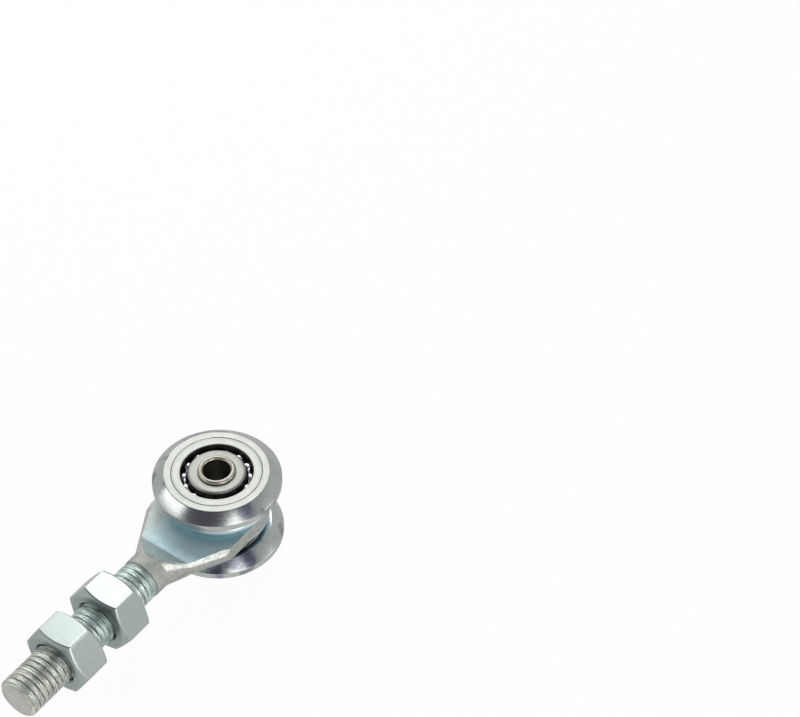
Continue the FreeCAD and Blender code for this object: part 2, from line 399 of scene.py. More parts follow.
def paddle_colour(tree, parts, finishes):
    """The pressed flats' colour: deeper teal round the bushes, a painted shade, and paler towards one edge, a
    painted reflection.
    """
    deep_within, deep_fades = 15.0 * MM, 18.5 * MM
    pale_starts, pale_beyond = 3.5 * MM, 10.0 * MM
    near_bush = spread(tree, off_axis(tree, parts["Y"], parts["X"]), deep_fades, deep_within)
    flat = mixed(tree, near_bush, finishes.pressed, finishes.pressed_painted_shade)
    near_edge = spread(tree, parts["Y"], pale_starts, pale_beyond)
    return mixed(tree, near_edge, flat, finishes.pressed_painted_reflection)


def thread_colour(tree, along, lines, streaks, wall, finishes):
    """The thread's colour: warmer towards its end, streaked by the rolling and darker along its lines."""
    warm_starts, warm_beyond = 58.0 * MM, 74.0 * MM
    towards_end = spread(tree, along, warm_starts, warm_beyond)
    wound = mixed(tree, towards_end, finishes.thread, finishes.thread_end)
    rolled = mixed(tree, streaks, dulled(tree, wound, 0.7), dulled(tree, wound, 1.28))
    wound = mixed(tree, wall, wound, rolled)
    return mixed(tree, lines, wound, dulled(tree, wound, 0.8))


def zinc_forging(finishes, sizes):
    """Zinc over the forging: satin teal on the paddle, warm and pitted at the neck, green on the thread."""
    material, tree, shader, where = new_material("Zinc Forging")
    parts = put(tree, "ShaderNodeSeparateXYZ", {0: where}).outputs
    along = times(tree, parts["X"], -1.0)
    thread_starts, thread_beyond = sizes.neck_end - 0.4 * MM, sizes.neck_end + 0.6 * MM
    thread = spread(tree, along, thread_starts, thread_beyond)
    wall_starts, wall_beyond = 4.7 * MM, 5.3 * MM
    from_middle = off_axis(tree, parts["Z"], parts["Y"])
    wall = times(tree, spread(tree, from_middle, wall_starts, wall_beyond), thread)
    lines, streaks = (times(tree, each, wall) for each in thread_lines(tree, parts, along, sizes))
    pressed, sheared = marked(tree, "pressed_flat"), marked(tree, "sheared_edge")
    plain = minus(tree, 1.0, sums(tree, "MAXIMUM", pressed, thread))

    # The sheared facets' brighter zinc is partly their finish and partly a painted highlight.
    bright = mixed(tree, sheared, finishes.forged, finishes.sheared)
    bright = mixed(tree, pressed, bright, paddle_colour(tree, parts, finishes))
    bright = mixed(tree, thread, bright, thread_colour(tree, along, lines, streaks, wall, finishes))
    dull = dulled(tree, bright, 0.74)
    grain = grain_of(tree, where, bright, dull, grain=0.3 * MM, patch=2.5 * MM, contrast=2.6)
    pits = noise(tree, {"Vector": where, "Scale": 1500.0, "Detail": 4.0, "Roughness": 0.7})
    worn = times(tree, spread(tree, pits, 0.42, 0.62, 0.45, 0.0), plain)
    base = mixed(tree, worn, grain["Colour"], dulled(tree, grain["Colour"], 0.55))

    rough = spread(tree, grain["Mask"], 0.0, 1.0, 0.32, 0.24)
    for share, rougher in ((pressed, 0.32), (thread, 0.12), (minus(tree, plain, sheared), 0.28)):
        rough = sums(tree, "MULTIPLY_ADD", share, rougher, rough)
    metal = spread(tree, pressed, 0.0, 1.0, 1.0, 0.88)

    dents = noise(tree, {"Vector": where, "Scale": 420.0, "Detail": 2.0})
    pit_depth = sums(tree, "MULTIPLY_ADD", sheared, -0.55, spread(tree, plain, 0.0, 1.0, 0.12, 1.0))
    normal = bumped(tree, grain["Grain"], 0.02 * MM, 0.35)
    normal = bumped(tree, minus(tree, streaks, lines), 0.05 * MM, 1.0, normal)
    normal = bumped(tree, times(tree, dents, plain), 0.3 * MM, 0.7, normal)
    normal = bumped(tree, times(tree, pits, pit_depth), 0.25 * MM, 0.9, normal)
    shade(tree, shader, base=base, rough=rough, normal=normal, metal=metal)
    return material


def zinc_nut(finishes):
    """Bright zinc on the nuts' flats, with a painted shade darkening their ends and, by half, their chamfers.
    """
    material, tree, shader, where = new_material("Zinc Nut")
    ends = marked(tree, "end_face")
    bright = mixed(tree, ends, finishes.zinc_nut, finishes.end_face)
    grain = grain_of(tree, where, bright, dulled(tree, bright, 0.88), patch=4.0 * MM, contrast=1.3)
    rough = sums(tree, "MULTIPLY_ADD", ends, 0.1, spread(tree, grain["Mask"], 0.0, 1.0, 0.30, 0.22))
    normal = bumped(tree, grain["Grain"], 0.02 * MM, 0.25)
    shade(tree, shader, base=grain["Colour"], rough=rough, normal=normal)
    return material


def ring_marks(tree, where, spacing):
    """The lathe's rings in a material."""
    values = {"Vector": where, "Spacing": spacing}
    return put(tree, "ShaderNodeGroup", values, node_tree=turning_marks()).outputs["Rings"]


def zinc_rim(finishes):
    """A turned rim: shiny bevels with purple stains, off-white ground faces and bluish inner sides."""
    material, tree, shader, where = new_material("Zinc Rim")
    face = marked(tree, "ground_face")
    bright = mixed(tree, face, finishes.zinc, finishes.face)
    bright = mixed(tree, marked(tree, "inner_side"), bright, finishes.bush)
    grain = grain_of(tree, where, bright, dulled(tree, bright, 0.8), contrast=2.4)
    rings = ring_marks(tree, where, 0.12 * MM)
    rough = sums(tree, "MULTIPLY_ADD", face, 0.2, spread(tree, rings, 0.2, 0.8, 0.16, 0.26))
    normal = bumped(tree, rings, 0.012 * MM, 0.4)
    normal = bumped(tree, grain["Grain"], 0.02 * MM, 0.3, normal)
    stain_seed = 54.75
    values = {"Vector": where, "W": stain_seed, "Scale": 130.0, "Detail": 3.0, "Roughness": 0.6}
    stains = spread(tree, noise(tree, values, "4D"), 0.52, 0.62, 0.0, 0.85)
    stained = times(tree, stains, minus(tree, 1.0, face))
    base = mixed(tree, stained, grain["Colour"], finishes.stain)
    shade(tree, shader, base=base, rough=rough, normal=normal)
    return material


def grease_in(tree, where, inside, outside, depth):
    """The grease in a material, between two radii and within a depth of a roller's middle."""
    values = {"Vector": where, "Inside": inside, "Outside": outside, "Depth": depth}
    values["Half Height"] = ROLLER_HEIGHT
    return put(tree, "ShaderNodeGroup", values, node_tree=greased_gap()).outputs


def zinc_race(finishes, sizes):
    """A ground race with dark grease in its groove."""
    material, tree, shader, where = new_material("Zinc Race")
    bright = mixed(tree, marked(tree, "inner_ring"), finishes.race_face, finishes.inner_face)
    grain = grain_of(tree, where, bright, dulled(tree, bright, 0.8), contrast=2.4)
    rings = ring_marks(tree, where, 0.15 * MM)
    creep, clean_edge = 1.3 * MM, 0.3 * MM
    inside = INNER_RACE_RADIUS - creep
    outside = INNER_RACE_RADIUS + sizes.race_gap + creep
    grease = grease_in(tree, where, inside, outside, HALF_RIM - clean_edge)["Grease"]
    base = mixed(tree, grease, grain["Colour"], finishes.grease)
    rough = sums(tree, "MULTIPLY_ADD", grease, 0.1, spread(tree, rings, 0.2, 0.8, 0.32, 0.42))
    metal = minus(tree, 1.0, grease)
    normal = bumped(tree, rings, 0.01 * MM, 0.3)
    normal = bumped(tree, grain["Grain"], 0.02 * MM, 0.3, normal)
    shade(tree, shader, base=base, rough=rough, normal=normal, metal=metal)
    return material


def nickel_tube(finishes):
    """Beige nickel on the axle's lips; darker deeper in its bore, partly an oxidised wall and partly painted
    shade.
    """
    material, tree, shader, where = new_material("Nickel Tube")
    grain = grain_of(tree, where, finishes.nickel, finishes.nickel_dull, contrast=1.0)
    parts = put(tree, "ShaderNodeSeparateXYZ", {0: where}).outputs
    bore_starts, bore_beyond = AXLE_HIGH.z - 0.7 * MM, AXLE_HIGH.z - 2.5 * MM
    bore = spread(tree, sums(tree, "ABSOLUTE", parts["Z"]), bore_starts, bore_beyond)
    # Darker deeper in the bore: partly an oxidised wall, partly painted shade.
    base = mixed(tree, bore, grain["Colour"], finishes.oxide_and_shade)
    rough = sums(tree, "MULTIPLY_ADD", bore, 0.15, spread(tree, grain["Mask"], 0.0, 1.0, 0.32, 0.24))
    normal = bumped(tree, ring_marks(tree, where, 0.1 * MM), 0.01 * MM, 0.3)
    shade(tree, shader, base=base, rough=rough, normal=normal)
    return material


def zinc_bush(finishes):
    """A turned bush of bluish zinc."""
    material, tree, shader, where = new_material("Zinc Bush")
    grain = grain_of(tree, where, finishes.bush, dulled(tree, finishes.bush[:3], 0.85))
    rings = ring_marks(tree, where, 0.15 * MM)
    rough = spread(tree, rings, 0.2, 0.8, 0.24, 0.36)
    shade(tree, shader, base=grain["Colour"], rough=rough, normal=bumped(tree, rings, 0.012 * MM, 0.5))
    return material


def polished_ball(finishes):
    """Polished steel with a film of grease in patches."""
    material, tree, shader, where = new_material("Polished Ball")
    smear = grease_in(tree, where, 0.0, 1.0, 1.0)["Smear"]
    film = spread(tree, smear, 0.45, 0.7, 0.0, 0.55)
    base = mixed(tree, film, finishes.steel, finishes.grease)
    rough = spread(tree, film, 0.0, 1.0, 0.07, 0.3)
    shade(tree, shader, base=base, rough=rough)
    return material


def pale_floor(finishes):
    """A floor that shows white to the camera and in metal, and keeps a soft shadow."""
    material = bpy.data.materials.new("Pale Floor")
    material.use_nodes = True
    tree = material.node_tree
    tree.nodes.clear()
    where = put(tree, "ShaderNodeTexCoord").outputs["Object"]
    paper = spread(tree, noise(tree, {"Vector": where, "Scale": 14.0, "Detail": 2.0}), 0.3, 0.7, 0.97, 1.0)
    shaded_paper, white_share = (0.88, 0.88, 0.88, 1), 0.95
    tone = mixed(tree, paper, shaded_paper, finishes.floor)
    paint = put(tree, "ShaderNodeBsdfDiffuse", {"Color": tone})
    white = put(tree, "ShaderNodeEmission", {"Color": (1, 1, 1, 1), "Strength": 1.0})
    path = put(tree, "ShaderNodeLightPath").outputs
    seen = sums(tree, "MAXIMUM", path["Is Camera Ray"], path["Is Glossy Ray"])
    seen = sums(tree, "MAXIMUM", seen, path["Is Transmission Ray"])
    share = times(tree, seen, white_share)
    both = put(tree, "ShaderNodeMixShader", {0: share, 1: paint.outputs[0], 2: white.outputs[0]})
    put(tree, "ShaderNodeOutputMaterial", {"Surface": both.outputs[0]})
    return material


def skin(rings, closed=True):
    """A bmesh stretched over rings with equally many points, back to the first ring where closed."""
    made = bmesh.new()
    rows = [[made.verts.new(point) for point in ring] for ring in rings]
    count = len(rows[0])
    for k in range(len(rows) if closed else len(rows) - 1):
        here, there = rows[k], rows[(k + 1) % len(rows)]
        for i in range(count):
            j = (i + 1) % count
            made.faces.new((here[i], here[j], there[j], there[i]))
    return made


def add_object(name, data):
    """A new object in the scene."""
    made = bpy.data.objects.new(name, data)
    bpy.context.scene.collection.objects.link(made)
    return made


def settle(made, name, sharp=30.0):
    """A closed bmesh as a piece: doubles merged, faces outwards, smooth but for its edges."""
    bmesh.ops.remove_doubles(made, verts=made.verts, dist=MERGE_DISTANCE)
    bmesh.ops.dissolve_degenerate(made, edges=made.edges, dist=MERGE_DISTANCE / 10)
    bmesh.ops.recalc_face_normals(made, faces=made.faces)
    mesh = bpy.data.meshes.new(name)
    made.to_mesh(mesh)
    made.free()
    mesh.shade_smooth()
    mesh.set_sharp_from_angle(angle=math.radians(sharp))
    return add_object(name, mesh)


def mark(piece, name, test):
    """Marks each face with what a test says of its normal and middle, for the material to read."""
    mesh = piece.data
    layer = mesh.attributes.new(name, "FLOAT", "FACE")
    layer.data.foreach_set("value", [float(test(face.normal, face.center)) for face in mesh.polygons])


def fit(piece, material, body, nodes):
    """Gives a piece its finish and its place in the frame."""
    piece.data.materials.clear()
    piece.data.materials.append(material)
    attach(piece, body)
    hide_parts(*nodes)


def clamped(value, low=0.0, high=1.0):
    """A number kept between two limits."""
    return min(max(value, low), high)


def circle(radius, count):
    """Evenly spaced points round a circle, as pairs."""
    turns = [2 * math.pi * i / count for i in range(count)]
    return [(radius * math.cos(turn), radius * math.sin(turn)) for turn in turns]


def rounded_corner(before, corner, after, radius, steps=4):
    """The points of an arc that rounds one corner of an outline."""
    corner = Vector(corner)
    back, on = (Vector(before) - corner).normalized(), (Vector(after) - corner).normalized()
    half = back.angle(on) / 2
    reach = radius / math.tan(half)
    middle = corner + (back + on).normalized() * (radius / math.sin(half))
    start, end = corner + back * reach - middle, corner + on * reach - middle
    sweep = math.pi - 2 * half
    points = []
    for k in range(steps + 1):
        t = k / steps
        weight_a = math.sin((1 - t) * sweep) / math.sin(sweep)
        weight_b = math.sin(t * sweep) / math.sin(sweep)
        points.append(tuple(middle + start * weight_a + end * weight_b))
    return points


def rounded_outline(corners):
    """An outline through (radius, height, rounding) corners, its corners rounded."""
    points = []
    for k, (radius, height, rounding) in enumerate(corners):
        if rounding == 0:
            points.append((radius, height))
            continue
        before, after = corners[k - 1][:2], corners[(k + 1) % len(corners)][:2]
        points += rounded_corner(before, (radius, height), after, rounding)
    return points


def turned(name, outline, height, count=256):
    """A piece turned about Z from a closed outline of (radius, height) points."""
    rings = [[(x, y, z + height) for x, y in circle(r, count)] for r, z in outline]
    return settle(skin(rings), name)


def groove_arc(side, radius, ball_circle, edge_radius, steps=20):
    """The points of a ball groove's arc, from its lower edge to its upper one."""
    reach = math.acos((edge_radius - ball_circle) / (side * radius))
    points = []
    for k in range(steps + 1):
        angle = -reach + 2 * reach * k / steps
        points.append((ball_circle + side * radius * math.cos(angle), radius * math.sin(angle)))
    return points


def tree_with(name, inputs):
    """An empty geometry tree with named inputs, the values it is given and its output node."""
    tree = bpy.data.node_groups.new(name, "GeometryNodeTree")
    tree.interface.new_socket("Geometry", in_out="OUTPUT", socket_type="NodeSocketGeometry")
    for label, kind in inputs.items():
        tree.interface.new_socket(label, in_out="INPUT", socket_type=kind)
    return tree, tree.nodes.new("NodeGroupInput").outputs, tree.nodes.new("NodeGroupOutput")


def end_tree(tree, geometry, material, output):
    """Ends a geometry tree: instances made real, material set."""
    real = put(tree, "GeometryNodeRealizeInstances", {"Geometry": geometry}).outputs[0]
    dressed = put(tree, "GeometryNodeSetMaterial", {"Geometry": real, "Material": material}).outputs[0]
    tree.links.new(dressed, output.inputs["Geometry"])


def grown(name, tree, values):
    """The plain mesh that a geometry tree makes with these values."""
    host = add_object(name, bpy.data.meshes.new(name))
    modifier = host.modifiers.new(name, "NODES")
    modifier.node_group = tree
    for socket in tree.interface.items_tree:
        if socket.in_out == "INPUT":
            modifier[socket.identifier] = values[socket.name]
    graph = bpy.context.evaluated_depsgraph_get()
    mesh = bpy.data.meshes.new_from_object(host.evaluated_get(graph), depsgraph=graph)
    host.modifiers.remove(modifier)
    bpy.data.objects.remove(host)
    mesh.name = name
    return mesh


def thread_tree():
    """A rolled thread along -X: a grid wound on the helix, rows along its crests, closed at the far end."""
    lengths = ("Radius", "Pitch", "Depth", "Start", "End", "Run Out", "Root Radius", "End Chamfer")
    inputs = dict.fromkeys(lengths, "NodeSocketFloat")
    inputs |= {"Points Round": "NodeSocketInt", "Rows": "NodeSocketInt"}
    inputs |= {"Rows per Pitch": "NodeSocketFloat", "Material": "NodeSocketMaterial"}
    tree, given, output = tree_with("Rolled Thread", inputs)
    columns = plus(tree, given["Points Round"], 1.0)
    grid = put(
        tree,
        "GeometryNodeMeshGrid",
        {"Size X": 1.0, "Size Y": 1.0, "Vertices X": columns, "Vertices Y": given["Rows"]},
    ).outputs["Mesh"]
    place = put(tree, "ShaderNodeSeparateXYZ", {0: put(tree, "GeometryNodeInputPosition").outputs[0]}).outputs
    around = plus(tree, place["X"], 0.5)
    row = times(tree, plus(tree, place["Y"], 0.5), minus(tree, given["Rows"], 1.0))
    risen = plus(tree, over(tree, row, given["Rows per Pitch"]), around)
    free = sums(tree, "MULTIPLY_ADD", minus(tree, risen, 1.0), given["Pitch"], given["Start"])
    along = sums(tree, "MINIMUM", sums(tree, "MAXIMUM", free, given["Start"]), given["End"])
    from_start = minus(tree, along, given["Start"])
    to_end = minus(tree, given["End"], along)

    turns = minus(tree, over(tree, from_start, given["Pitch"]), around)
    phase = sums(tree, "FRACT", plus(tree, turns, 1.0))
    wave = sums(tree, "ABSOLUTE", sums(tree, "MULTIPLY_ADD", phase, 2.0, -1.0))
    root_ends, crest_starts, nose_blend = 0.05, 0.36, 0.4 * MM
    crest = spread(tree, wave, root_ends, crest_starts)
    root = minus(tree, given["Radius"], given["Depth"])
    cut = sums(tree, "MULTIPLY_ADD", crest, given["Depth"], root)
    above_root = minus(tree, cut, given["Root Radius"])
    rise = spread(tree, from_start, 0.0, given["Run Out"])
    blank = sums(tree, "MULTIPLY_ADD", above_root, rise, given["Root Radius"])
    nose = plus(tree, minus(tree, given["Radius"], given["End Chamfer"]), to_end)
    past_end = minus(tree, free, given["End"])
    cap = spread(tree, past_end, 0.0, given["Pitch"], 1.0, 0.0, smooth=False)
    radius = times(tree, sums(tree, "SMOOTH_MIN", blank, nose, nose_blend), cap)

    angle = times(tree, around, 2 * math.pi)
    point = put(
        tree,
        "ShaderNodeCombineXYZ",
        {
            "X": times(tree, along, -1.0),
            "Y": times(tree, radius, sums(tree, "COSINE", angle)),
            "Z": times(tree, radius, times(tree, sums(tree, "SINE", angle), -1.0)),
        },
    ).outputs[0]
    wound = put(tree, "GeometryNodeSetPosition", {"Geometry": grid, "Position": point}).outputs[0]
    values = {"Geometry": wound, "Distance": MERGE_DISTANCE}
    joined = put(tree, "GeometryNodeMergeByDistance", values).outputs[0]
    end_tree(tree, joined, given["Material"], output)
    return tree


def ball_tree():
    """Balls spaced evenly round a bearing."""
    numbers = ("Ball Radius", "Ball Circle", "First Angle", "Height")
    inputs = {"Balls": "NodeSocketInt"} | dict.fromkeys(numbers, "NodeSocketFloat")
    inputs["Material"] = "NodeSocketMaterial"
    tree, given, output = tree_with("Ball Ring", inputs)
    points = put(tree, "GeometryNodePoints", {"Count": given["Balls"]}).outputs[0]
    index = put(tree, "GeometryNodeInputIndex").outputs[0]
    step = over(tree, 2 * math.pi, given["Balls"])
    angle = sums(tree, "MULTIPLY_ADD", index, step, given["First Angle"])
    place = put(
        tree,
        "ShaderNodeCombineXYZ",
        {
            "X": times(tree, sums(tree, "COSINE", angle), given["Ball Circle"]),
            "Y": times(tree, sums(tree, "SINE", angle), given["Ball Circle"]),
            "Z": given["Height"],
        },
    ).outputs[0]
    ring = put(tree, "GeometryNodeSetPosition", {"Geometry": points, "Position": place}).outputs[0]
    values = {"Radius": given["Ball Radius"], "Subdivisions": 5}
    ball = put(tree, "GeometryNodeMeshIcoSphere", values).outputs["Mesh"]
    smooth = put(tree, "GeometryNodeSetShadeSmooth", {"Geometry": ball, "Shade Smooth": True}).outputs[0]
    placed = put(tree, "GeometryNodeInstanceOnPoints", {"Points": ring, "Instance": smooth}).outputs[0]
    end_tree(tree, placed, given["Material"], output)
    return tree


def ramp_height(sizes, s):
    """Half the height between the ramps at a distance from the axle, with a soft crease at their foot."""
    soft, far_past = 0.25 * MM, 30
    rise = (sizes.neck_radius - sizes.paddle_half) / sizes.ramp_length
    past = (s - sizes.crease_at) / soft
    eased = math.log1p(math.exp(past)) if past < far_past else past
    return sizes.paddle_half + rise * soft * eased


def section(side, low, high):
    """A section of the forging from its quarter: up the side, over the edge's facet, in along the top."""
    middle = tuple((a + b) / 2 for a, b in zip(low, high))
    quarter = side + [low, middle, high]
    top_steps = NECK_ROUND // 4 + 1 - len(quarter)
    quarter += [(high[0], high[1] * (1 - k / top_steps), high[2]) for k in range(1, top_steps + 1)]
    ring = list(quarter)
    ring += [(x, -y, z) for x, y, z in reversed(quarter[:-1])]
    ring += [(x, -y, -z) for x, y, z in quarter[1:]]
    ring += [(x, y, -z) for x, y, z in reversed(quarter[1:-1])]
    return [(x, y, -z) for x, y, z in ring]


def head_rings(sizes, steps=48):
    """The sections across the paddle's round end, from its tip to the axle."""
    radius, half, edge = BOLT_HIGH.y, sizes.paddle_half, sizes.paddle_edge
    inset = 1 - edge / radius
    rings = []
    for k in range(steps + 1):
        angle = math.pi / 2 * k / steps
        x, y = radius * math.cos(angle), radius * math.sin(angle)
        side = [(x, y, (half - edge) * n / SIDE_STEPS) for n in range(SIDE_STEPS)]
        rings.append(section(side, (x, y, half - edge), (x * inset, y * inset, half)))
    return rings


def side_reach(z, wide, tall, bulge):
    """Half the width at a height: the paddle's straight side, blended into the flare's trimmed ellipse."""
    trimmed = min(wide * math.sqrt(max(1 - (z / tall) ** 2, 0)), BOLT_HIGH.y)
    return BOLT_HIGH.y + (trimmed - BOLT_HIGH.y) * bulge


def flare_rings(sizes):
    """The sections along the paddle's straight sides and the flare, from the axle to the round neck."""
    head_length, flare_end, edge = sizes.head_length, sizes.flare_end, sizes.paddle_edge
    spread_radius = BOLT_HIGH.y + sizes.flare_spread
    blend_start, blend_length = head_length - 0.9 * MM, 1.5 * MM
    facet_fade, facet_past, facet_least, facet_lean = 6.0 * MM, 0.1 * MM, 0.15, 0.3
    below_crown = 0.9999  # keeps a section's top just under its ellipse
    straight_steps, blend_steps, flare_steps = 10, 5, 70
    stations = [head_length * k / straight_steps for k in range(1, straight_steps)]
    stations += [blend_start + blend_length * k / blend_steps for k in range(blend_steps + 1)]
    first = stations[-1]
    stations += [first + (flare_end - first) * k / flare_steps for k in range(1, flare_steps + 1)]
    rings = []
    for s in stations:
        t = clamped((s - head_length) / (flare_end - head_length))
        wide = spread_radius + (sizes.neck_radius - spread_radius) * t
        tall = sizes.flare_half + (sizes.neck_radius - sizes.flare_half) * t
        top = min(ramp_height(sizes, s), tall * below_crown)
        bulge = clamped((s - blend_start) / blend_length)
        bulge = bulge * bulge * (3 - 2 * bulge)
        facet = edge + (sizes.sheared_edge - edge) * bulge
        facet *= clamped((flare_end + facet_past - s) / facet_fade, facet_least)
        low_z = top - facet
        reach = math.asin(low_z / tall)
        heights = [tall * math.sin(reach * n / SIDE_STEPS) for n in range(SIDE_STEPS)]
        side = [(-s, side_reach(z, wide, tall, bulge), z) for z in heights]
        low_y = side_reach(low_z, wide, tall, bulge)
        high_y = max(side_reach(top, wide, tall, bulge) - facet * facet_lean, 0)
        rings.append(section(side, (-s, low_y, low_z), (-s, high_y, top)))
    return rings


def neck_rings(sizes):
    """The round neck's sections down to the thread's shoulder, and the radius on which the thread starts."""
    radius, end = sizes.neck_radius, sizes.neck_end
    near_flare, plain_neck = 0.15 * MM, (31.0 * MM, 32.0 * MM, 33.0 * MM)
    # The shoulder's rounding: millimetres before the neck's end, and inwards
    shoulder = ((0.25, 0.0), (0.12, 0.03), (0.04, 0.11), (0.0, 0.22))
    stations = [(sizes.flare_end + near_flare * k, 0.0) for k in range(1, 5)]
    stations += [(s, 0.0) for s in plain_neck]
    stations += [(end - before * MM, inwards * MM) for before, inwards in shoulder]
    rings = []
    for s, inwards in stations:
        limit = ramp_height(sizes, s)
        around = circle(radius - inwards, NECK_ROUND)
        rings.append([(-s, y, clamped(-z, -limit, limit)) for y, z in around])
    root = radius - sizes.shoulder_step
    rings.append([(-end, y, -z) for y, z in circle(root, NECK_ROUND)])
    return rings, root


def forging_rings(sizes):
    """The eye bolt's sections from the paddle's tip to the shoulder, and the thread's first radius."""
    neck, root = neck_rings(sizes)
    return head_rings(sizes) + flare_rings(sizes) + neck, root


def hex_outline(half_flats, turn, rounding=0.25 * MM, flat_steps=14):
    """A hexagon's outline with rounded corners, as (y, z) points."""
    reach = half_flats / math.cos(math.pi / 6)
    angles = [turn + k * math.pi / 3 for k in range(6)]
    corners = [(reach * math.cos(angle), reach * math.sin(angle)) for angle in angles]
    arcs = [rounded_corner(corners[k - 1], corners[k], corners[(k + 1) % 6], rounding) for k in range(6)]
    shares = [n / flat_steps for n in range(1, flat_steps)]
    points = []
    for k, arc in enumerate(arcs):
        (y, z), (next_y, next_z) = arc[-1], arcs[(k + 1) % 6][0]
        points += arc
        points += [(y + (next_y - y) * t, z + (next_z - z) * t) for t in shares]
    return points


def nut_rings(sizes, turn, middle, half):
    """A nut's rings from one mouth out over its flats to the other mouth, and back through its bore."""
    outline = hex_outline(sizes.nut_across_flats / 2, turn)
    chamfer = math.radians(30)
    face, soft = sizes.nut_face_radius, 0.16 * MM
    soft_out, soft_down = soft * 0.87, soft * 0.5
    up_chamfer, down_flats = 0.2 * MM, -0.37 * MM
    mouth = sizes.nut_bore + sizes.nut_countersink

    def ring(radius, at):
        """A round ring at a place along the nut, with a point for each of the hexagon's."""
        points = []
        for y, z in outline:
            reach = math.hypot(y, z)
            points.append((middle + at, radius * y / reach, radius * z / reach))
        return points

    def hexagon(end, past):
        """The hexagon's edge with the chamfer of one end, moved up the chamfer or down the flats by past."""
        points = []
        for y, z in outline:
            reach = math.hypot(y, z)
            at = half - max(reach - face, 0) * math.tan(chamfer)
            pull = 1.0
            if past > 0:
                pull = 1 - past * math.cos(chamfer) / reach
                at += past * math.sin(chamfer)
            points.append((middle + end * (at + min(past, 0)), y * pull, z * pull))
        return points

    rings = [ring(sizes.nut_bore, half - sizes.nut_countersink), ring(mouth, half)]
    rings += [ring(face - soft, half), ring(face + soft_out, half - soft_down)]
    rings += [hexagon(1, up_chamfer), hexagon(1, down_flats)]
    rings += [hexagon(-1, down_flats), hexagon(-1, up_chamfer)]
    rings += [ring(face + soft_out, soft_down - half), ring(face - soft, -half)]
    rings += [ring(mouth, -half), ring(sizes.nut_bore, sizes.nut_countersink - half)]
    return rings


def punched(blank, sizes, sharp):
    """The forged blank's mesh with the eye punched through its paddle."""
    points_round, stand_out = 96, 1.0 * MM
    level = sizes.paddle_half + stand_out
    eye = circle(sizes.eye_radius, points_round)
    made = skin([[(x, y, z) for x, y in eye] for z in (-level, level)], closed=False)
    bmesh.ops.holes_fill(made, edges=made.edges, sides=points_round)
    punch = settle(made, "eye_punch")
    cut = blank.modifiers.new("eye", "BOOLEAN")
    cut.operation, cut.solver, cut.object = "DIFFERENCE", "EXACT", punch
    graph = bpy.context.evaluated_depsgraph_get()
    mesh = bpy.data.meshes.new_from_object(blank.evaluated_get(graph), depsgraph=graph)
    bpy.data.objects.remove(punch)
    bpy.data.objects.remove(blank)
    mesh.set_sharp_from_angle(angle=math.radians(sharp))
    return mesh


def on_facet(normal, middle):
    """Whether a face of the forging lies on the flare's sheared edges."""
    on_flare = 12.5 * MM < -middle.x < 29.5 * MM
    return on_flare and abs(normal.y) > 0.4 and 0.4 < abs(normal.z) < 0.9


def on_flat(normal, middle):
    """How far a face of the forging is pressed flat: wholly on the paddle, partly on the ramps."""
    paddle_end, ramp_share = -29.2 * MM, 0.45
    if middle.x < paddle_end or abs(normal.y) > 0.1:
        return 0.0
    if abs(normal.z) > 0.97:
        return 1.0
    return ramp_share if abs(normal.z) > 0.75 else 0.0


def on_nut_end(normal, middle):
    """How far a face of a nut takes the painted end shade: wholly on the end faces, half on the chamfers."""
    if abs(normal.x) > 0.95:
        return 1.0
    return 0.5 if abs(normal.x) > 0.4 else 0.0


def axle_outline(sizes, steps=16):
    """The hollow axle's outline with a half-round lip at each end, as (radius, height) points."""
    bore, lip, lip_edge = sizes.axle_bore, AXLE_HIGH.x, 0.12 * MM
    stack = ROLLER_HEIGHT + HALF_RIM
    start, middle = stack + sizes.lip_straight, (bore + lip) / 2
    roll = AXLE_HIGH.z - start
    half = [(sizes.axle_radius, stack), (lip - lip_edge, stack), (lip, stack + lip_edge)]
    for k in range(steps + 1):
        angle = math.pi * k / steps
        half.append((middle + (lip - middle) * math.cos(angle), start + roll * math.sin(angle)))
    return half + [(r, -z) for r, z in reversed(half)]


